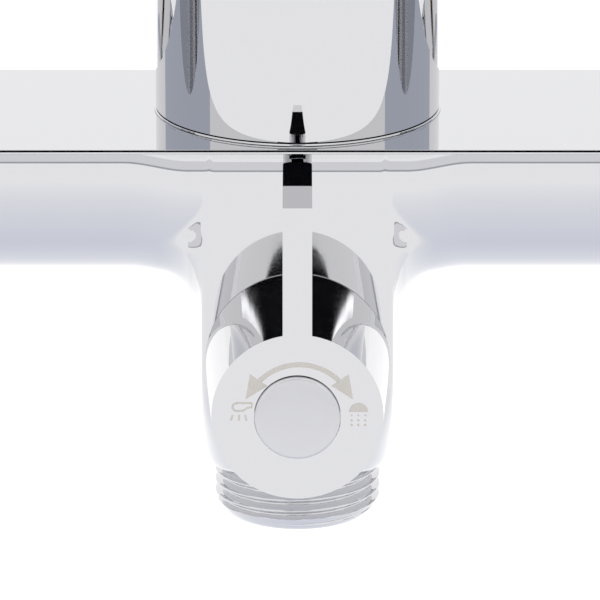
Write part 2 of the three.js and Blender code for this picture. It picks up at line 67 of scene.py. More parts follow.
# Valve body and shelf
BAR_R, BAR_Y, BAR_Z = 22.0, -1.5, -3.6
BAR_HALF = BODY_HIGH.x / MM
SHELF_HALF = SHELF_HIGH.x / MM
SHELF_FRONT = from_origin(SHELF_LOW).y
SHELF_BACK = from_origin(SHELF_HIGH).y
SHELF_TOP, SHELF_THICK = -0.65, 0.7  # the polished plate is let into the body
NECK_HALF, NECK_BACK, NECK_BOTTOM, NECK_END_R = 15.05, 14.0, -58.8, 13.4
NECK_CORNER, NECK_FILLET, FILLET_DEPTH = 1.5, 8.0, 4.5
NECK_TAPER_Z, NECK_ROUND_Z, NECK_ROUND_LENGTH = -44.0, -38.0, 18.0
BULGE_Y, BULGE_Z = -0.2, -1.3  # how far the bar's front swells over the neck
BULGE_END, BULGE_FADE = 27.0, 10.0  # across the bar
INLET_X, INLET_Z, STUB_R, STUB_END = 75.0, -15.0, 13.2, 27.0

# Hose outlet, G 3/4
THREAD_R, THREAD_PITCH, THREAD_DEPTH = 13.22, 1.814, 1.1
THREAD_BOTTOM, THREAD_BORE = -67.9, 8.5

# Diverter
DIVERTER_Z, KNOB_REAR, KNOB_FRONT = -35.5, 23.8, 51.0
KNOB_REAR_R, KNOB_FRONT_R, CAP_R = 14.5, 13.2, 6.6
LEVER_HALF, LEVER_TOP, LEVER_BACK, LEVER_CREASE, LEVER_NOSE = 2.25, 34.5, 30.0, 43.0, 33.35

# Riser, arm and rain head
PIPE_R, PIPE_TOP = 12.0, from_origin(RISER_HIGH).z
SLEEVE_R, SLEEVE_TOP = 22.45, 60.0
ARM_REACH, ARM_RISE, BIG_BEND, SMALL_BEND, ARM_DROP = 365.0, 50.0, 55.0, 35.0, 13.0
ARM_START = PIPE_TOP + 0.3
HEAD_R, BALL_R, BALL_DROP = 110.0, 11.0, 26.0
NOZZLE_RINGS, NOZZLE_STEP = 11, 9.1
HEAD_Z = ARM_START + ARM_RISE + BIG_BEND - SMALL_BEND - ARM_DROP - BALL_DROP

# Handles, fittings, bracket and holder
HANDLE_R, HANDLE_LENGTH, BLADE_HALF, BLADE_RISE = 22.0, 38.0, 2.25, 7.0
WALL = -ORIGIN.y / MM  # riser axis to wall
BRACKET_Z, HOLDER_Z = 800.0, 560.0
PIVOT_Y, CUP_Y = -31.0, -58.0


# ---------------------------------------------------------------- materials

def new_material(name, colour, roughness, metallic=0.0):
    material = bpy.data.materials.new(name)
    material.use_nodes = True
    shader = material.node_tree.nodes["Principled BSDF"]
    shader.inputs["Base Color"].default_value = (*colour, 1)
    shader.inputs["Roughness"].default_value = roughness
    shader.inputs["Metallic"].default_value = metallic
    return material, shader


def add_noise(material, scale, detail=3.0, stretch=(1, 1, 1)):
    nodes, links = material.node_tree.nodes, material.node_tree.links
    spot = nodes.new("ShaderNodeTexCoord")
    spread = nodes.new("ShaderNodeMapping")
    noise = nodes.new("ShaderNodeTexNoise")
    spread.inputs["Scale"].default_value = stretch
    noise.inputs["Scale"].default_value = scale
    noise.inputs["Detail"].default_value = detail
    links.new(spot.outputs["Object"], spread.inputs["Vector"])
    links.new(spread.outputs["Vector"], noise.inputs["Vector"])
    return noise


def vary(material, shader, socket, noise, low, high):
    """Lets a noise drive a socket between two values."""
    nodes, links = material.node_tree.nodes, material.node_tree.links
    spread = nodes.new("ShaderNodeMapRange")
    spread.inputs["From Min"].default_value = 0.3
    spread.inputs["From Max"].default_value = 0.7
    spread.inputs["To Min"].default_value = low
    spread.inputs["To Max"].default_value = high
    links.new(noise.outputs["Fac"], spread.inputs["Value"])
    links.new(spread.outputs["Result"], shader.inputs[socket])


def shade_between(material, shader, noise, dark, light):
    """Lets a noise mix the base colour between two shades."""
    nodes, links = material.node_tree.nodes, material.node_tree.links
    ramp = nodes.new("ShaderNodeValToRGB")
    ramp.color_ramp.elements[0].position = 0.3
    ramp.color_ramp.elements[0].color = (*dark, 1)
    ramp.color_ramp.elements[1].position = 0.7
    ramp.color_ramp.elements[1].color = (*light, 1)
    links.new(noise.outputs["Fac"], ramp.inputs["Fac"])
    links.new(ramp.outputs["Color"], shader.inputs["Base Color"])


def add_bump(material, shader, noise, strength, distance):
    nodes, links = material.node_tree.nodes, material.node_tree.links
    bump = nodes.new("ShaderNodeBump")
    bump.inputs["Strength"].default_value = strength
    bump.inputs["Distance"].default_value = distance
    links.new(noise.outputs["Fac"], bump.inputs["Height"])
    links.new(bump.outputs["Normal"], shader.inputs["Normal"])


def bright_chrome():
    material, shader = new_material("bright_chrome", (0.635, 0.635, 0.65), 0.03, 1.0)
    vary(material, shader, "Roughness", add_noise(material, 90.0), 0.01, 0.035)
    return material


def satin_chrome():
    material, shader = new_material("satin_chrome", (0.6, 0.6, 0.62), 0.3, 1.0)
    vary(material, shader, "Roughness", add_noise(material, 1500.0), 0.28, 0.34)
    add_bump(material, shader, add_noise(material, 9000.0), 0.02, 0.00001)
    return material


def etched_chrome():
    material, shader = new_material("etched_chrome", (0.545, 0.52, 0.49), 0.5, 1.0)
    vary(material, shader, "Roughness", add_noise(material, 2500.0), 0.42, 0.58)
    return material


def machined_brass():
    material, shader = new_material("machined_brass", (0.6, 0.4, 0.14), 0.3, 1.0)
    turned_marks = add_noise(material, 500.0, 2.0, (1, 1, 12))
    vary(material, shader, "Roughness", turned_marks, 0.22, 0.4)
    cast_shade = add_noise(material, 60.0)
    shade_between(material, shader, cast_shade, (0.52, 0.34, 0.11), (0.64, 0.45, 0.17))
    return material


def turned_steel():
    material, shader = new_material("turned_steel", (0.5, 0.5, 0.51), 0.3, 1.0)
    brushed = add_noise(material, 600.0, 2.0, (1, 1, 10))
    vary(material, shader, "Roughness", brushed, 0.22, 0.38)
    add_bump(material, shader, brushed, 0.08, 0.00005)
    return material


def moulded(name, dark, light, roughness, grain):
    """A moulded plastic or rubber with a fine grain and a slight change of shade."""
    material, shader = new_material(name, light, roughness)
    gloss = add_noise(material, 300.0)
    vary(material, shader, "Roughness", gloss, roughness - 0.06, roughness + 0.06)
    shade_between(material, shader, add_noise(material, 40.0), dark, light)
    add_bump(material, shader, add_noise(material, 3500.0), grain, 0.0001)
    return material


CHROME = bright_chrome()
SATIN = satin_chrome()
ETCHED = etched_chrome()
SILICONE = moulded("grey_silicone", (0.2, 0.215, 0.225), (0.26, 0.275, 0.29), 0.6, 0.1)
RED_PLASTIC = moulded("red_button_plastic", (0.36, 0.012, 0.018), (0.46, 0.018, 0.025), 0.28, 0.03)
BY_SLOT = {
    "chrome": CHROME,
    "satin_chrome": SATIN,
    "silicone": SILICONE,
    "red_plastic": RED_PLASTIC,
    "brass": machined_brass(),
    "steel": turned_steel(),
    "dark_plastic": moulded("dark_cartridge_plastic", (0.018, 0.02, 0.022),
                            (0.03, 0.032, 0.035), 0.45, 0.1),
    "white_plastic": moulded("white_cartridge_plastic", (0.72, 0.72, 0.69),
                             (0.8, 0.8, 0.78), 0.4, 0.08),
    "rubber": moulded("black_seal_rubber", (0.012, 0.012, 0.013), (0.022, 0.022, 0.024), 0.75, 0.2),
    "ceramic": moulded("lapped_ceramic", (0.83, 0.81, 0.76), (0.88, 0.87, 0.83), 0.2, 0.02),
}


def finish_cad_nodes():
    """Gives every carried-over node the finish of its slot."""
    for part in frame["record"]["subparts"]:
        node = frame["nodes"][part["node"]]
        node.data.materials.clear()
        node.data.materials.append(BY_SLOT[part["material_slot"]])


# ---------------------------------------------------------------- modelling helpers

def deselect():
    bpy.ops.object.select_all(action="DESELECT")


def only(obj):
    deselect()
    obj.select_set(True)
    bpy.context.view_layer.objects.active = obj


def open_edit(obj, mode="VERT", select="SELECT"):
    only(obj)
    bpy.ops.object.mode_set(mode="EDIT")
    bpy.ops.mesh.select_mode(type=mode)
    bpy.ops.mesh.select_all(action=select)


def close_edit():
    bpy.ops.object.mode_set(mode="OBJECT")


def apply_modifier(obj, kind, **settings):
    only(obj)
    modifier = obj.modifiers.new(kind.title(), kind)
    for key, value in settings.items():
        setattr(modifier, key, value)
    bpy.ops.object.modifier_apply(modifier=modifier.name)


def named(name):
    obj = bpy.context.object
    obj.name = obj.data.name = name
    bpy.ops.object.transform_apply(location=True, rotation=True, scale=True)
    return obj


def clean(obj, merge=0.002):
    open_edit(obj)
    bpy.ops.mesh.remove_doubles(threshold=merge)
    bpy.ops.mesh.normals_make_consistent(inside=False)
    close_edit()


def soften(obj, width=0.3, segments=3, angle=30):
    """Rounds the edges of a finished shape and gives it even shading."""
    clean(obj)
    if width:
        apply_modifier(obj, "BEVEL", width=width, segments=segments, limit_method="ANGLE",
                       angle_limit=math.radians(angle), miter_outer="MITER_ARC")
    only(obj)
    bpy.ops.object.shade_smooth_by_angle(angle=math.radians(38))
    apply_modifier(obj, "WEIGHTED_NORMAL", keep_sharp=True)
    return obj


def turn(name, rings, sides=96, hollow=False):
    """A turned piece about Z: a circle pushed and scaled from ring to ring."""
    deselect()
    first_r, first_z = rings[0]
    bpy.ops.mesh.primitive_circle_add(vertices=sides, radius=first_r, location=(0, 0, first_z))
    obj = named(name)
    open_edit(obj)
    if not hollow:
        bpy.ops.mesh.edge_face_add()
    bpy.ops.mesh.select_mode(type="EDGE")
    steps = rings + rings[:1] if hollow else rings
    for (r0, z0), (r1, z1) in zip(steps, steps[1:]):
        bpy.ops.mesh.extrude_edges_move(TRANSFORM_OT_translate={"value": (0, 0, z1 - z0)})
        bpy.ops.transform.resize(value=(r1 / r0, r1 / r0, 1), center_override=(0, 0, z1))
    if not hollow:
        bpy.ops.mesh.edge_face_add()
    close_edit()
    clean(obj)
    return obj


def rounded(rings, radius=0.8, steps=4):
    """The same outline with its corners cut back and rounded."""
    smooth = [rings[0]]
    for (r0, z0), (r1, z1), (r2, z2) in zip(rings, rings[1:], rings[2:]):
        before = math.hypot(r1 - r0, z1 - z0)
        after = math.hypot(r2 - r1, z2 - z1)
        cut = min(radius, before * 0.45, after * 0.45)
        ax, az = r1 + (r0 - r1) * cut / before, z1 + (z0 - z1) * cut / before
        bx, bz = r1 + (r2 - r1) * cut / after, z1 + (z2 - z1) * cut / after
        for i in range(steps + 1):
            t = i / steps
            u, v, w = (1 - t) ** 2, 2 * t * (1 - t), t * t
            smooth.append((u * ax + v * r1 + w * bx, u * az + v * z1 + w * bz))
    return smooth + [rings[-1]]


def block(name, low, high):
    deselect()
    centre = [(a + b) / 2 for a, b in zip(low, high)]
    bpy.ops.mesh.primitive_cube_add(size=1, location=centre,
                                    scale=[b - a for a, b in zip(low, high)])
    return named(name)


def rod(name, radius, low, high, sides=64):
    deselect()
    bpy.ops.mesh.primitive_cylinder_add(vertices=sides, radius=radius, depth=high - low,
                                        location=(0, 0, (low + high) / 2))
    return named(name)


def pushed(name, outline, low, high):
    """A flat outline of (x, y) points pushed along Z from low to high."""
    deselect()
    bpy.ops.mesh.primitive_circle_add(vertices=len(outline), fill_type="NGON")
    obj = named(name)
    for vertex, (x, y) in zip(obj.data.vertices, outline):
        vertex.co = (x, y, low)
    obj.data.update()
    open_edit(obj, "FACE")
    bpy.ops.mesh.extrude_region_move(TRANSFORM_OT_translate={"value": (0, 0, high - low)})
    close_edit()
    clean(obj, 0.0001)
    return obj


def move(obj, matrix):
    obj.data.transform(matrix)
    return obj


def shifted(obj, x, y, z):
    return move(obj, Matrix.Translation((x, y, z)))


def rotated(obj, angle, axis):
    return move(obj, Matrix.Rotation(math.radians(angle), 4, axis))


def combine(obj, other, how="UNION"):
    apply_modifier(obj, "BOOLEAN", operation=how, object=other, solver="EXACT")
    bpy.data.objects.remove(other)
    return obj


def joined(pieces, name):
    """Many small pieces as one object."""
    only(pieces[0])
    for piece in pieces:
        piece.select_set(True)
    bpy.ops.object.join()
    return named(name)


def points_of(obj):
    co = np.empty(len(obj.data.vertices) * 3)
    obj.data.vertices.foreach_get("co", co)
    return co.reshape(-1, 3)


def put_points(obj, p):
    obj.data.vertices.foreach_set("co", p.ravel())
    obj.data.update()


def flute(obj, inner_r, low, high, count, depth):
    """Shallow grooves along a turned grip."""
    p = points_of(obj)
    r = np.hypot(p[:, 0], p[:, 1])
    wave = 0.5 - 0.5 * np.cos(count * np.arctan2(p[:, 1], p[:, 0]))
    fade = np.clip(np.minimum(p[:, 2] - low, high - p[:, 2]) / 1.2, 0, 1)
    scale = 1 - np.where(r > inner_r, depth * wave ** 3 * fade, 0) / np.maximum(r, 1)
    p[:, :2] *= scale[:, None]
    put_points(obj, p)


def place(obj, body, replaces=(), slot="chrome", local=None, material=None):
    """Puts a finished piece where it belongs, on its body and in place of its CAD nodes."""
    into_row = Matrix.Translation(ORIGIN) @ Matrix.Scale(MM, 4)
    obj.data.transform(into_row @ (local or Matrix.Identity(4)))
    obj.data.materials.clear()
    obj.data.materials.append(material or BY_SLOT[slot])
    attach(obj, body)
    if replaces:
        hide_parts(*replaces)
    return obj


def local_frame(x, y, z, angle=0, axis="X"):
    return Matrix.Translation((x, y, z)) @ Matrix.Rotation(math.radians(angle), 4, axis)


# turns an outline of (y, z) points so that it is pushed along X
OUTLINE_ALONG_X = Matrix(((0, 0, 1, 0), (1, 0, 0, 0), (0, 1, 0, 0), (0, 0, 0, 1)))
DIVERTER_FRAME = local_frame(0, 0, DIVERTER_Z, 90, "X")  # +Z towards the bather, +Y up
LEFT_END = local_frame(-BAR_HALF, BAR_Y, BAR_Z, -90, "Y")  # +Z out of the bar's end
RIGHT_END = local_frame(BAR_HALF, BAR_Y, BAR_Z, 90, "Y")
HEAD_FRAME = local_frame(0, -ARM_REACH, HEAD_Z)
BRACKET_FRAME = local_frame(0, 0, BRACKET_Z, -90, "X")  # +Z towards the wall
HOLDER_FRAME = local_frame(0, 0, HOLDER_Z)


# ---------------------------------------------------------------- valve body

def ramp(z, start, end):
    """0 at start and 1 at end, along a quarter of a circle."""
    t = np.clip((start - z) / (start - end), 0, 1)
    return 1 - np.sqrt(1 - t * t)


def bar_distance(p):
    """The round bar, which swells a little over the neck."""
    w = np.clip((BULGE_END - np.abs(p[:, 0])) / BULGE_FADE, 0, 1)
    w = w * w * (3 - 2 * w)
    return np.hypot(p[:, 1] - BAR_Y - BULGE_Y * w, p[:, 2] - BAR_Z - BULGE_Z * w) - BAR_R


def neck_distance(p):
    """The neck: an upright front tangent to the bar, flat sides, and round at its lower end."""
    centre_y, centre_z = BAR_Y + BULGE_Y, BAR_Z + BULGE_Z
    depth = ramp(p[:, 2], NECK_TAPER_Z, NECK_BOTTOM)
    half_x = NECK_HALF + (NECK_END_R - NECK_HALF) * depth
    front = centre_y - BAR_R + (BAR_R - centre_y - NECK_END_R) * depth
    back = NECK_BACK + (NECK_END_R - NECK_BACK) * depth
    rounder = np.clip((NECK_ROUND_Z - p[:, 2]) / NECK_ROUND_LENGTH, 0, 1)
    rounder = rounder * rounder * (3 - 2 * rounder)
    corner = NECK_CORNER + (NECK_END_R - NECK_CORNER - 0.1) * rounder
    corner = np.minimum(corner, np.minimum(half_x, (back - front) / 2))
    to_front = np.where(p[:, 2] > centre_z,
                        np.hypot(p[:, 1] - centre_y, p[:, 2] - centre_z) - BAR_R,
                        front - p[:, 1])
    qx = np.abs(p[:, 0]) - half_x + corner
    qy = np.maximum(to_front, p[:, 1] - back) + corner
    outside = np.hypot(np.maximum(qx, 0), np.maximum(qy, 0))
    return outside + np.minimum(np.maximum(qx, qy), 0) - corner


def stub_distance(p):
    return np.maximum(np.hypot(np.abs(p[:, 0]) - INLET_X, p[:, 2] - INLET_Z) - STUB_R,
                      8 - p[:, 1])


def slope(field, p, step=0.02):
    """The gradient of a distance field at each point."""
    found = np.empty_like(p)
    for axis in range(3):
        shift = np.zeros(3)
        shift[axis] = step
        found[:, axis] = (field(p + shift) - field(p - shift)) / (2 * step)
    return found


def neck_fillet(p):
    """The neck's fillet, which dies out upwards as the neck sinks into the bar."""
    drop = np.clip(BAR_Z + BULGE_Z - p[:, 2], 0, BAR_R)
    sunk = np.clip((BAR_R - np.sqrt(BAR_R ** 2 - drop ** 2)) / FILLET_DEPTH, 0, 1)
    return NECK_FILLET * sunk * sunk * (3 - 2 * sunk)


def filleted(field_a, field_b, radius):
    """Two shapes joined by a round fillet, which fades out where they run side by side."""
    def field(p):
        a, b = field_a(p), field_b(p)
        near = (a < NECK_FILLET) & (b < NECK_FILLET)
        r = np.full(len(p), 1e-3)
        if near.any():
            na, nb = slope(field_a, p[near]), slope(field_b, p[near])
            limit = radius(p[near]) if callable(radius) else radius
            r[near] = np.maximum(limit * (1 - np.clip((na * nb).sum(1), 0, 1)), 1e-3)
        u, v = np.maximum(r - a, 0), np.maximum(r - b, 0)
        return np.maximum(r, np.minimum(a, b)) - np.hypot(u, v)
    return field


body_distance = filleted(filleted(bar_distance, neck_distance, neck_fillet), stub_distance, 3.0)


def settle(obj, field, rounds=8):
    """Draws every vertex onto a surface given by its distance field."""
    p = points_of(obj)
    for _ in range(rounds):
        n = slope(field, p)
        n /= np.maximum((n * n).sum(1), 1e-6)[:, None]
        p = p - np.clip(field(p), -1.5, 1.5)[:, None] * n
    put_points(obj, p)


def shade_by(obj, field):
    """Shading normals straight from the field, except on the flat cuts."""
    mesh = obj.data
    n = slope(field, points_of(obj))
    n /= np.linalg.norm(n, axis=1)[:, None]
    loops = np.empty(len(mesh.loops), dtype=np.int32)
    mesh.loops.foreach_get("vertex_index", loops)
    sizes = np.empty(len(mesh.polygons), dtype=np.int32)
    mesh.polygons.foreach_get("loop_total", sizes)
    flat = np.empty(len(mesh.polygons) * 3)
    mesh.polygons.foreach_get("normal", flat)
    flat = np.repeat(flat.reshape(-1, 3), sizes, axis=0)
    smooth = n[loops]
    follows = (smooth * flat).sum(1) > 0.8
    mesh.polygons.foreach_set("use_smooth", [True] * len(mesh.polygons))
    mesh.normals_split_custom_set(np.where(follows[:, None], smooth, flat).tolist())


def trim(obj, point, normal):
    """Cuts away what lies beyond a plane and closes the cut."""
    open_edit(obj)
    bpy.ops.mesh.bisect(plane_co=point, plane_no=normal, use_fill=True, clear_outer=True)
    close_edit()


def valve_body():
    beyond = 4.0
    body = rotated(rod("valve_body_shell", BAR_R, -BAR_HALF - beyond, BAR_HALF + beyond, 96),
                   90, "Y")
    shifted(body, 0, BAR_Y, BAR_Z)
    combine(body, block("neck", (-NECK_HALF, -23.7, NECK_BOTTOM - beyond),
                        (NECK_HALF, NECK_BACK, 0)))
    for side in (-1, 1):
        stub = rotated(rod("stub", STUB_R, beyond, STUB_END + beyond), -90, "X")
        combine(body, shifted(stub, side * INLET_X, 0, INLET_Z))
    apply_modifier(body, "REMESH", mode="VOXEL", voxel_size=0.7)
    settle(body, body_distance)
    open_edit(body)
    bpy.ops.mesh.vertices_smooth(factor=0.5, repeat=5)
    close_edit()
    settle(body, body_distance)
    trim(body, (BAR_HALF, 0, 0), (1, 0, 0))
    trim(body, (-BAR_HALF, 0, 0), (-1, 0, 0))
    trim(body, (0, 0, NECK_BOTTOM), (0, 0, -1))
    trim(body, (0, STUB_END, 0), (0, 1, 0))
    top = SHELF_TOP - SHELF_THICK - 0.02
    combine(body, block("flat", (-SHELF_HALF - 0.3, -40, top), (SHELF_HALF + 0.3, 40, 40)),
            "DIFFERENCE")
    shade_by(body, body_distance)
    place(body, "column", ["valve_body"])


def shelf():
    """A thin plate whose front edge is a small round, a narrow leaning face and a lip."""
    front, back, top = SHELF_FRONT, SHELF_BACK, SHELF_TOP
    low = top - SHELF_THICK
    nose = [(front + 0.3, top), (front + 0.2, top - 0.03), (front + 0.13, top - 0.07),
            (front + 0.05, top - 0.33), (front, low + 0.1), (front + 0.1, low)]
    outline = nose + [(back - 0.2, low), (back, low + 0.2), (back, top - 0.2), (back - 0.2, top)]
    plate = pushed("shelf_top", outline, -SHELF_HALF, SHELF_HALF)
    move(plate, OUTLINE_ALONG_X)
    soften(plate, 0)
    place(plate, "column", ["shelf_plate"])


def outlet():
    """The hose outlet: a turned blank whose skin is drawn in and out along a helix."""
    top = NECK_BOTTOM + 0.05
    rows, chamfer, end_r = 96, 2.9, 10.3
    rings = [(THREAD_BORE, top), (THREAD_R - 0.3, top)]
    rings += [(THREAD_R, top + (THREAD_BOTTOM - top) * i / rows) for i in range(1, rows)]
    rings += [(end_r, THREAD_BOTTOM), (THREAD_BORE + 0.4, THREAD_BOTTOM),
              (THREAD_BORE, THREAD_BOTTOM + 0.4)]
    nipple = turn("outlet_thread", rings, sides=160, hollow=True)
    p = points_of(nipple)
    r = np.hypot(p[:, 0], p[:, 1])
    skin = r > THREAD_R - 0.05
    turns = p[:, 2] / THREAD_PITCH - np.arctan2(p[:, 1], p[:, 0]) / (2 * math.pi)
    wave = np.abs(turns - np.round(turns)) * 2  # 0 at a crest, 1 at a root
    wave = np.clip((wave - 0.12) / 0.76, 0, 1)
    wave = 0.35 * wave * wave * (3 - 2 * wave) + 0.65 * wave
    want = THREAD_R - THREAD_DEPTH * wave
    end = end_r + chamfer * np.sqrt(np.clip((p[:, 2] - THREAD_BOTTOM) / chamfer, 0, None))
    want = np.minimum(want, end)
    run_out = np.clip((top - p[:, 2]) / 0.9, 0, 1)
    want = want * run_out + (THREAD_R - 0.4) * (1 - run_out)
    p[:, :2] *= np.where(skin, want / r, 1.0)[:, None]
    put_points(nipple, p)
    only(nipple)
    bpy.ops.object.shade_smooth_by_angle(angle=math.radians(50))
    place(nipple, "column", ["outlet_nipple"])


# ---------------------------------------------------------------- diverter

def diverter_lever():
    """The deep lever: a flat fin with a sloping nose and rounded back corners."""
    outline = [(9.6, KNOB_FRONT), (9.6, LEVER_BACK + 4), (KNOB_REAR_R - 1, LEVER_BACK),
               (LEVER_TOP, LEVER_BACK), (LEVER_TOP, LEVER_CREASE), (LEVER_NOSE, KNOB_FRONT)]
    fin = pushed("lever", outline, -LEVER_HALF, LEVER_HALF)
    move(fin, OUTLINE_ALONG_X)
    open_edit(fin, "EDGE", "DESELECT")
    close_edit()
    for edge in fin.data.edges:
        a, b = (fin.data.vertices[i].co for i in edge.vertices)
        edge.select = a.z < LEVER_BACK + 0.1 and b.z < LEVER_BACK + 0.1 and abs(a.x - b.x) < 0.1
    bpy.ops.object.mode_set(mode="EDIT")
    bpy.ops.mesh.bevel(offset=1.3, segments=6, affect="EDGES")
    close_edit()
    return fin


def diverter_knob():
    """The conical sleeve, its flat front and the lever, as one casting."""
    rear = KNOB_REAR + 0.02
    recess = CAP_R + 0.07
    knob = turn("diverter_knob_shell", [
        (12.4, rear), (KNOB_REAR_R - 0.15, rear), (KNOB_REAR_R, rear + 0.12),
        (KNOB_FRONT_R, KNOB_FRONT), (recess, KNOB_FRONT), (recess, 49.5), (2.4, 49.5),
        (2.4, 42.0), (11.6, 42.0)], sides=128, hollow=True)
    combine(knob, diverter_lever())
    soften(knob, 0.18, 3, 4)
    place(knob, "diverter", ["diverter_knob"], local=DIVERTER_FRAME)


def diverter_cap():
    cap = turn("diverter_cap_disc", [
        (CAP_R - 0.05, 49.6), (CAP_R, 51.4), (CAP_R - 0.06, 51.58), (CAP_R - 0.2, 51.72),
        (CAP_R - 0.45, 51.8), (CAP_R - 2.0, 51.9), (CAP_R - 4.0, 51.96), (0.4, 52.0)], sides=128)
    soften(cap, 0)
    place(cap, "diverter", ["diverter_cap"], "satin_chrome", DIVERTER_FRAME)


def arc_points(radius, start, end, steps, x=0.0, y=0.0):
    """Points on an arc, with angles in degrees anticlockwise from +X."""
    found = []
    for i in range(steps + 1):
        a = math.radians(start + (end - start) * i / steps)
        found.append((x + radius * math.cos(a), y + radius * math.sin(a)))
    return found


def water_marks():
    """The etched two-headed arrow with a hand shower on its left and a rain head on its right."""
    marks = []

    def mark(outline):
        marks.append(pushed("mark", outline, KNOB_FRONT - 0.01, KNOB_FRONT + 0.02))

    mark(arc_points(8.8, 44, 136, 24, 0.3) + arc_points(8.0, 136, 44, 24, 0.3))
    for side in (-1, 1):
        mark([(0.3 + side * x, y) for x, y in ((7.55, 6.9), (8.25, 2.8), (4.9, 5.0))])
    # rain head: a dome over nine drops
    mark(arc_points(1.5, 0, 180, 14, 9.35, 0.8))
    for row, width in ((0.25, 0.16), (-0.55, 0.2), (-1.3, 0.22)):
        for x in (8.3, 9.35, 10.4):
            mark(arc_points(width, 0, 315, 7, x, row))
    # hand shower: the outline of a head and its handle over three slanting drops
    outer = arc_points(0.8, 90, 270, 10, -9.3, 1.6) + [(-8.2, 0.85), (-7.6, 1.3), (-6.85, 1.45),
                                                      (-6.85, 2.4)]
    inner = [(-7.1, 2.1), (-7.1, 1.7), (-7.75, 1.6), (-8.3, 1.15)] \
        + arc_points(0.48, 270, 90, 10, -9.25, 1.6)
    mark(outer[:-1] + [(-6.85, 2.1)] + inner + [outer[0]])
    mark([(-9.3, 2.08), (-7.1, 2.08), (-6.85, 2.1), (-6.85, 2.4), (-9.3, 2.4)])
    for x, lean in ((-9.9, 0.28), (-8.9, 0.05), (-8.0, -0.2)):
        mark([(x - 0.17, 0.35), (x + 0.17, 0.35), (x + 0.17 - lean, -0.6), (x - 0.17 - lean, -0.6)])
    icons = joined(marks, "diverter_water_marks")
    place(icons, "diverter", (), "satin_chrome", DIVERTER_FRAME, ETCHED)


# ---------------------------------------------------------------- riser

def riser():
    foot = turn("riser_foot", [
        (20.0, 0.02), (22.6, 0.02), (22.7, 0.1), (22.68, 0.3), (22.6, 0.36), (20.0, 0.36)],
        sides=160, hollow=True)
    shifted(foot, 0, 0, SHELF_TOP)
    soften(foot, 0)
    place(foot, "column", ["riser_foot_ring"])
    sleeve = turn("riser_base_sleeve", [
        (20.4, -0.18), (SLEEVE_R - 0.06, -0.18), (SLEEVE_R, -0.12), (SLEEVE_R, SLEEVE_TOP - 1.2),
        (SLEEVE_R - 0.35, SLEEVE_TOP - 0.35), (SLEEVE_R - 1.2, SLEEVE_TOP),
        (PIPE_R + 0.2, SLEEVE_TOP), (PIPE_R + 0.2, SLEEVE_TOP - 2.5), (20.4, SLEEVE_TOP - 2.5)],
        sides=160, hollow=True)
    soften(sleeve, 0)
    place(sleeve, "column", ["riser_sleeve"])
    bead = [(PIPE_R, PIPE_TOP - 26), (PIPE_R, PIPE_TOP - 24), (PIPE_R + 2, PIPE_TOP - 22),
            (PIPE_R + 2, PIPE_TOP - 2), (PIPE_R, PIPE_TOP)]
    pipe = turn("riser_tube", [(10.8, 20), (PIPE_R, 20)] + rounded(bead, 1.2)
                + [(10.8, PIPE_TOP)], hollow=True)
    soften(pipe, 0)
    place(pipe, "column", ["riser_pipe"])


# ---------------------------------------------------------------- end controls

def handle(name, node, body, where, ticks):
    """A cup-shaped handle with a deep blade along its front."""
    r, length = HANDLE_R, HANDLE_LENGTH
    cup = turn(name, [(r - 2.5, 0.4), (r - 0.3, 0.4), (r, 0.7), (r, length - 1.5),
                      (r - 0.45, length - 0.45), (r - 1.5, length), (9.75, length),
                      (9.75, 34.5), (4.4, 34.5), (4.4, 30), (r - 2.5, 30)],
               sides=128, hollow=True)
    blade = block("blade", (-BLADE_HALF, -r - BLADE_RISE, 9), (BLADE_HALF, -r + 3, length - 1))
    apply_modifier(blade, "BEVEL", width=1.6, segments=4, limit_method="ANGLE")
    combine(cup, blade)
    soften(cup, 0.25, 3, 25)
    place(cup, body, [node], local=where)
    cap = turn(name + "_cap", [(9.6, 34.8), (9.65, 37.4), (9.4, 37.8), (8.6, 38.15),
                               (6.5, 38.35), (0.5, 38.45)], sides=96)
    soften(cap, 0)
    place(cap, body, [node.replace("handle", "cap")], "satin_chrome", where)
    scale = []
    for angle, reach in ticks:
        tick = block("tick", (r - 0.02, -0.22, 2.0), (r + 0.02, 0.22, 2.0 + reach))
        scale.append(rotated(tick, angle, "Z"))
    place(joined(scale, name + "_scale"), body, (), "satin_chrome", where, ETCHED)


def end_controls():
    coarse = [(-90 + 22.5 * i, 4.5 if i % 2 == 0 else 2.8) for i in range(-2, 3) if i]
    fine = [(-90 + 12 * i, 4.5 if i % 3 == 0 else 2.8) for i in range(-6, 7) if i]
    handle("flow_control_handle", "flow_handle", "flow_handle", LEFT_END, coarse)
    handle("temperature_control_handle", "temperature_handle", "temperature_handle",
           RIGHT_END, fine)
    button = turn("temperature_safety_button", [
        (5.1, 15.6), (5.2, 15.9), (5.2, 18.4), (4.0, 18.4), (4.0, 22.9), (3.85, 23.3),
        (3.4, 23.6), (2.2, 23.75), (0.4, 23.8)], sides=48)
    soften(button, 0)
    up = Matrix.Translation((0, 0, 12)) @ Matrix.Rotation(math.radians(-90), 4, "Y")
    place(button, "safety_button", ["safety_button"], "red_plastic", RIGHT_END @ up)


# ---------------------------------------------------------------- wall inlets

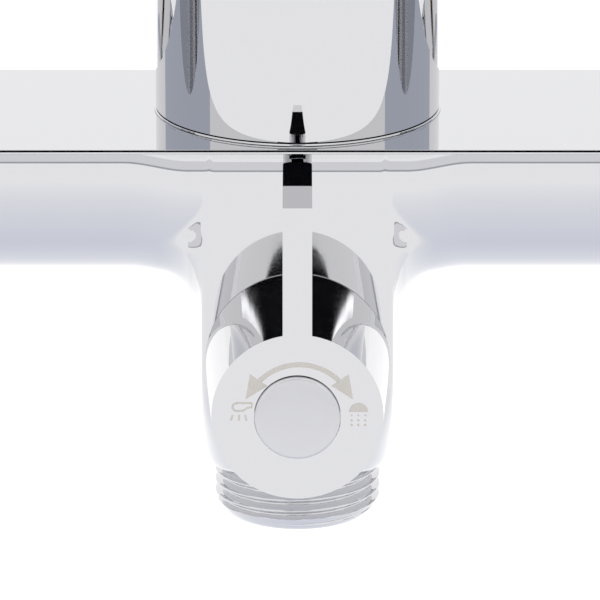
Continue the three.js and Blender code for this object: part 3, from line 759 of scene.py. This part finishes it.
def inlet(side, prefix):
    where = local_frame(side * INLET_X, 0, INLET_Z, -90, "X")
    nut = rod(prefix + "_inlet_nut", 30 / math.sqrt(3), 27.6, 46, 6)
    crown = turn("crown", [(15.0, 27.5), (17.9, 29.5), (17.9, 44.1), (15.0, 46.1)], sides=96)
    combine(nut, crown, "INTERSECT")
    combine(nut, rod("bore", 11.2, 20, 50), "DIFFERENCE")
    combine(nut, rod("seat", 13.4, 20, 41.2), "DIFFERENCE")
    soften(nut, 0.3, 2, 40)
    place(nut, "column", [prefix + "_union_nut"], local=where)
    flange = turn(prefix + "_cover_flange", rounded([
        (17, 48.2), (17, 46.6), (19, 46.6), (20.5, 52), (24, WALL - 0.05), (21.1, WALL - 0.05),
        (18.4, 53.4), (17, 48.2)], 1.2)[:-1], sides=128, hollow=True)
    soften(flange, 0)
    place(flange, "column", [prefix + "_wall_flange"], local=where)


# ---------------------------------------------------------------- wall bracket

def wall_bracket():
    clamp = rotated(turn("upper_bracket_clamp", rounded([
        (12.3, -13), (16.9, -13), (17, 13), (12.3, 13)], 1.5), 128, True), 90, "X")
    boss = turn("boss", rounded([(3, 13.5), (10.5, 13.5), (10.5, 34), (3, 34)], 1.0), 96)
    combine(clamp, boss)
    combine(clamp, rotated(rod("bore", 12.3, -20, 20, 128), 90, "X"), "DIFFERENCE")
    combine(clamp, rod("socket", 7.7, 16, 35), "DIFFERENCE")
    soften(clamp, 0.5, 3, 35)
    place(clamp, "column", ["bracket_clamp"], local=BRACKET_FRAME)
    post = turn("upper_bracket_post", [(7.0, 18), (7.5, 18.5), (7.5, 65.8), (7.1, 66.2)], 96)
    soften(post, 0)
    place(post, "column", ["bracket_post"], local=BRACKET_FRAME)
    rosette = turn("upper_bracket_rosette", rounded([
        (7.7, 56.5), (7.7, 54), (22, 54), (26, 58), (27, WALL - 0.05), (22.5, WALL - 0.05),
        (22.5, 58.5), (20.5, 56.5), (7.7, 56.5)], 1.2)[:-1], 128, True)
    soften(rosette, 0)
    place(rosette, "column", ["bracket_rosette"], local=BRACKET_FRAME)


# ---------------------------------------------------------------- hand-shower holder

def along_x(obj):
    return rotated(obj, 90, "Y")


def holder():
    half = 21
    slider = turn("holder_slide_body", rounded([
        (13.4, -half), (19, -half), (19, half), (13.4, half)], 2.0), 128, True)
    combine(slider, shifted(along_x(rod("knuckle", 9, -9, 9)), 0, PIVOT_Y, 0))
    combine(slider, block("bridge", (-9, PIVOT_Y, -9), (9, -15, 9)))
    combine(slider, along_x(rod("boss", 9.5, 12, 25)))
    combine(slider, rod("bore", 13.4, -half - 1, half + 1, 128), "DIFFERENCE")
    combine(slider, shifted(along_x(rod("pin_hole", 4.2, -12, 12)), 0, PIVOT_Y, 0), "DIFFERENCE")
    combine(slider, along_x(rod("knob_hole", 4.2, 10, 26)), "DIFFERENCE")
    soften(slider, 0.7, 3, 35)
    place(slider, "holder", ["holder_slider"], local=HOLDER_FRAME)
    grip = turn("holder_grip_knob", rounded([
        (4, 25.4), (11, 25.4), (13, 28), (13, 39), (11.6, 41), (1, 41.4)], 1.0), 192)
    flute(grip, 11.5, 27.5, 39.5, 24, 0.9)
    soften(grip, 0)
    combine(grip, rod("stem", 4, 14.2, 26))
    place(along_x(grip), "holder_knob", ["holder_lock_knob"], local=HOLDER_FRAME)
    cradle()


def cradle():
    cup = turn("holder_cup", rounded([
        (12.2, 17), (15.4, 17), (13.4, -17), (10.4, -17), (12.2, 17)], 0.9)[:-1], 128, True)
    shifted(cup, 0, CUP_Y, 0)
    for side in (-1, 1):
        low, high = side * 11 - 1.7, side * 11 + 1.7
        ear = shifted(along_x(rod("ear", 9, low, high)), 0, PIVOT_Y, 0)
        combine(ear, block("web", (low, CUP_Y + 9, -7), (high, PIVOT_Y, 7)))
        combine(cup, ear)
    combine(cup, block("slot", (-6.5, CUP_Y - 20, -20), (6.5, CUP_Y - 5, 20)), "DIFFERENCE")
    taper = turn("taper", [(12.2, 18), (12.2, 17), (10.4, -17), (10.4, -18)], 128)
    combine(cup, shifted(taper, 0, CUP_Y, 0), "DIFFERENCE")
    pin_hole = shifted(along_x(rod("pin_hole", 4.2, -16, 16)), 0, PIVOT_Y, 0)
    combine(cup, pin_hole, "DIFFERENCE")
    soften(cup, 0.45, 3, 35)
    place(cup, "cradle", ["holder_cradle"], local=HOLDER_FRAME)


# ---------------------------------------------------------------- arm and rain head

def overhead_arm():
    """A circle pushed up, spun forwards, pushed out, spun down and pushed to the head."""
    deselect()
    bpy.ops.mesh.primitive_circle_add(vertices=64, radius=PIPE_R, location=(0, 0, ARM_START))
    arm = named("overhead_arm_tube")
    open_edit(arm)
    bpy.ops.mesh.edge_face_add()
    bpy.ops.mesh.select_mode(type="EDGE")
    knee = ARM_START + ARM_RISE
    level = knee + BIG_BEND

    def push(x, y, z):
        bpy.ops.mesh.extrude_edges_move(TRANSFORM_OT_translate={"value": (x, y, z)})

    push(0, 0, ARM_RISE)
    bpy.ops.mesh.spin(steps=28, angle=-math.pi / 2, center=(0, -BIG_BEND, knee), axis=(1, 0, 0))
    push(0, BIG_BEND + SMALL_BEND - ARM_REACH, 0)
    bpy.ops.mesh.spin(steps=20, angle=-math.pi / 2, axis=(1, 0, 0),
                      center=(0, SMALL_BEND - ARM_REACH, level - SMALL_BEND))
    push(0, 0, -ARM_DROP)
    bpy.ops.mesh.edge_face_add()
    close_edit()
    soften(arm, 0.4, 2, 60)
    place(arm, "arm", ["overhead_arm"])


def ball_arc(radius, start, end, steps):
    return [(radius * math.cos(math.radians(start + (end - start) * i / steps)),
             radius * math.sin(math.radians(start + (end - start) * i / steps)))
            for i in range(steps + 1)]


def rain_head():
    stud = turn("head_swivel_ball", [(3, -BALL_R + 0.5)] + ball_arc(BALL_R, -70, 60, 24)
                + rounded([(5.2, 11), (5.2, BALL_DROP - 10), (11.6, BALL_DROP - 9),
                           (11.7, BALL_DROP - 0.05), (3, BALL_DROP - 0.05)], 0.8), 96, True)
    soften(stud, 0)
    place(stud, "arm", ["head_ball_stud"], local=HEAD_FRAME)
    nut = turn("head_swivel_nut", rounded([
        (13.6, -7), (17.5, -7), (17.5, 5.5), (16, 8.1), (8.9, 7.2)], 0.7)
        + ball_arc(BALL_R + 0.3, 36, 12, 6) + [(13.6, 1.4)], 192, True)
    flute(nut, 16.0, -6.5, 5.5, 24, 0.7)
    soften(nut, 0)
    place(nut, "head_seat", ["head_ball_nut"], local=HEAD_FRAME)
    neck_top, rim = -10.8, -26.0
    shell = turn("rain_head_dish", rounded([
        (6, neck_top - 6), (6, neck_top), (13.2, neck_top), (13.2, neck_top - 3),
        (18.5, neck_top - 3.6), (22, rim + 8.6), (60, rim + 6), (HEAD_R - 4, rim + 4.6),
        (HEAD_R, rim + 2), (HEAD_R, rim), (HEAD_R - 2.2, rim), (HEAD_R - 2.2, rim + 2.2),
        (58, rim + 3.8), (18, rim + 5.4), (6, neck_top - 6)], 1.5)[:-1], 192, True)
    soften(shell, 0)
    place(shell, "rain_head", ["rain_head_shell"], local=HEAD_FRAME)
    face_r = HEAD_R - 2.5
    face = turn("rain_head_face", [
        (0.5, rim + 0.4), (face_r, rim + 0.4), (face_r, rim - 0.5), (face_r - 0.3, rim - 0.8),
        (0.5, rim - 0.8)], 192)
    soften(face, 0)
    place(face, "rain_head", ["rain_head_face_plate"], "satin_chrome", HEAD_FRAME)
    nozzles(rim)


def nozzles(rim):
    """Rows of soft nozzles in rings, each a small tapered stub with a rounded collar."""
    model = turn("nozzle", [(1.9, rim - 0.7), (1.9, rim - 1.1), (1.25, rim - 1.4),
                            (1.0, rim - 2.9), (0.6, rim - 3.0), (0.45, rim - 2.4)], 10)
    copies = [model]
    for ring_number in range(1, NOZZLE_RINGS + 1):
        count = 6 * ring_number
        for i in range(count):
            a = 2 * math.pi * (i + 0.5 * (ring_number % 2)) / count
            copy = bpy.data.objects.new("nozzle_copy", model.data.copy())
            bpy.context.scene.collection.objects.link(copy)
            reach = NOZZLE_STEP * ring_number
            copies.append(shifted(copy, reach * math.cos(a), reach * math.sin(a), 0))
    mat = joined(copies, "rain_head_nozzles")
    only(mat)
    bpy.ops.object.shade_smooth_by_angle(angle=math.radians(45))
    place(mat, "rain_head", ["rain_head_nozzle_mat"], "silicone", HEAD_FRAME)


# ---------------------------------------------------------------- studio
# The camera and floor are in metres. The cards are in millimetres from CARD_CENTRE.

VIEW_ELEVATION, VIEW_DISTANCE, VIEW_LENS = 17.5, 1.15, 432.0
VIEW_AIM = Vector((0.0004, 0, -0.0328))
# the middle value is how far the floor's painted shade reaches out from below the column, in metres
FLOOR_Z, PAINTED_SHADE_REACH, WHITE = -1.4, 2.5, (1, 1, 1)
CARD_CENTRE = Vector((0, -25, -25))
NEAR_CARD, FRAME_CARD, FAR_CARD = 1300.0, 1310.0, 4200.0

def glowing(name, colour, strength=1.0):
    material = bpy.data.materials.new(name)
    material.use_nodes = True
    nodes, links = material.node_tree.nodes, material.node_tree.links
    nodes.clear()
    glow = nodes.new("ShaderNodeEmission")
    out = nodes.new("ShaderNodeOutputMaterial")
    glow.inputs["Color"].default_value = (*colour, 1)
    glow.inputs["Strength"].default_value = strength
    links.new(glow.outputs["Emission"], out.inputs["Surface"])
    return material


def direction(azimuth, elevation):
    """A unit vector: azimuth 0 points at the bather, 90 to the right."""
    a, e = math.radians(azimuth), math.radians(elevation)
    return Vector((math.sin(a) * math.cos(e), -math.cos(a) * math.cos(e), math.sin(e)))


def card(name, corners, colour, strength=1.0):
    """A studio card with the given corners, which shows only in reflections."""
    deselect()
    bpy.ops.mesh.primitive_circle_add(vertices=len(corners), fill_type="NGON")
    obj = named(name)
    for vertex, corner in zip(obj.data.vertices, corners):
        vertex.co = ORIGIN + (CARD_CENTRE + corner) * MM
    obj.data.update()
    obj.data.materials.append(glowing(name, colour, strength))
    obj.visible_camera = False
    obj.visible_diffuse = False
    obj.visible_shadow = False
    return obj


def band(name, azimuths, elevations, colour, strength, reach):
    """A card that follows a stretch of the horizon, in straight lengths."""
    (a0, a1), (e0, e1) = azimuths, elevations
    steps = max(2, int(abs(a1 - a0) / 10))
    for i in range(steps):
        left, right = a0 + (a1 - a0) * i / steps, a0 + (a1 - a0) * (i + 1) / steps
        corners = [(left, e0), (right, e0), (right, e1), (left, e1)]
        card(f"{name}_{i}", [direction(a, e) * reach for a, e in corners], colour, strength)


def doorway(grow, distance):
    """The outline of the studio's dark opening, on an upright plane before the object."""
    sill = grow * 0.1
    half = [(0, 11.6 - sill), (4.3, 10.9 - sill), (7.1, 9.6 - sill), (8.5, 8.8 - sill),
            (10.0, 7.9 - sill), (20.9 + grow, 8.2 - sill), (19.5 + grow, 12.1),
            (18.3 + grow, 14.4), (16.8 + grow, 16.7), (14.5 + grow, 21.0), (12.0 + grow, 27 + grow)]
    whole = half + [(-a, e) for a, e in reversed(half[1:])]
    ways = [direction(a, e) for a, e in whole]
    return [way * (distance / way.dot((0, -1, 0))) for way in ways]


def camera():
    elevation = math.radians(VIEW_ELEVATION)
    back = Vector((0, -math.cos(elevation), math.sin(elevation)))
    data = bpy.data.cameras.new("camera")
    data.sensor_width = 36.0
    data.lens = VIEW_LENS
    data.clip_start = 0.05
    data.clip_end = 100.0
    cam = bpy.data.objects.new("camera", data)
    bpy.context.scene.collection.objects.link(cam)
    cam.location = ORIGIN + VIEW_AIM + back * VIEW_DISTANCE
    cam.rotation_mode = "QUATERNION"
    cam.rotation_quaternion = (-back).to_track_quat("-Z", "Y")
    bpy.context.scene.camera = cam


def floor():
    """A wide pale floor with painted shade: a little darker and bluer right below the column."""
    deselect()
    bpy.ops.mesh.primitive_plane_add(size=60, location=(0, 0, FLOOR_Z))
    ground = named("studio_floor")
    material, shader = new_material("pale_floor_with_painted_shade", (0.93, 0.93, 0.94), 0.7)
    shader.inputs["Emission Color"].default_value = (1, 1, 1, 1)
    shader.inputs["Emission Strength"].default_value = 0.12
    nodes, links = material.node_tree.nodes, material.node_tree.links
    spot = nodes.new("ShaderNodeTexCoord")
    spread = nodes.new("ShaderNodeMapping")
    # painted shade: a spherical gradient about the column's foot darkens and blues the floor right
    # below it, where shade falls
    painted_shade_pool = nodes.new("ShaderNodeTexGradient")
    shade = nodes.new("ShaderNodeValToRGB")
    spread.inputs["Location"].default_value = (0, 0, -FLOOR_Z / PAINTED_SHADE_REACH)
    spread.inputs["Scale"].default_value = [1 / PAINTED_SHADE_REACH] * 3
    painted_shade_pool.gradient_type = "SPHERICAL"
    shade.color_ramp.elements[0].color = (0.93, 0.93, 0.94, 1)
    shade.color_ramp.elements[1].color = (0.66, 0.685, 0.78, 1)
    links.new(spot.outputs["Object"], spread.inputs["Vector"])
    links.new(spread.outputs["Vector"], painted_shade_pool.inputs["Vector"])
    links.new(painted_shade_pool.outputs["Fac"], shade.inputs["Fac"])
    links.new(shade.outputs["Color"], shader.inputs["Base Color"])
    ground.data.materials.append(material)


def studio():
    """Even white light all round, with the cards that the chrome mirrors."""
    scene = bpy.context.scene
    scene.view_settings.view_transform = "Standard"
    world = bpy.data.worlds.new("studio")
    scene.world = world
    world.use_nodes = True
    world.node_tree.nodes["Background"].inputs["Color"].default_value = (1, 1, 1, 1)
    world.node_tree.nodes["Background"].inputs["Strength"].default_value = 1.15
    floor()
    card("dark_room", doorway(0, NEAR_CARD), (0.004, 0.004, 0.006), 1.0)
    card("bright_frame", doorway(0.3, FRAME_CARD), WHITE, 2.6)
    band("far_table_edge", (-60, 60), (-13.7, -12.2), (0.50, 0.51, 0.54), 1.0, FAR_CARD)
    band("far_table_side", (-60, 60), (-12.2, -5.0), (0.94, 0.94, 0.96), 1.0, FAR_CARD)
    for side in (-1, 1):
        band("side_wall", (side * 76, side * 136), (9, 29), (0.66, 0.70, 0.79), 1.0, NEAR_CARD)


camera()
studio()
finish_cad_nodes()
valve_body()
shelf()
outlet()
diverter_knob()
diverter_cap()
water_marks()
riser()
end_controls()
inlet(-1, "left")
inlet(1, "right")
wall_bracket()
holder()
overhead_arm()
rain_head()
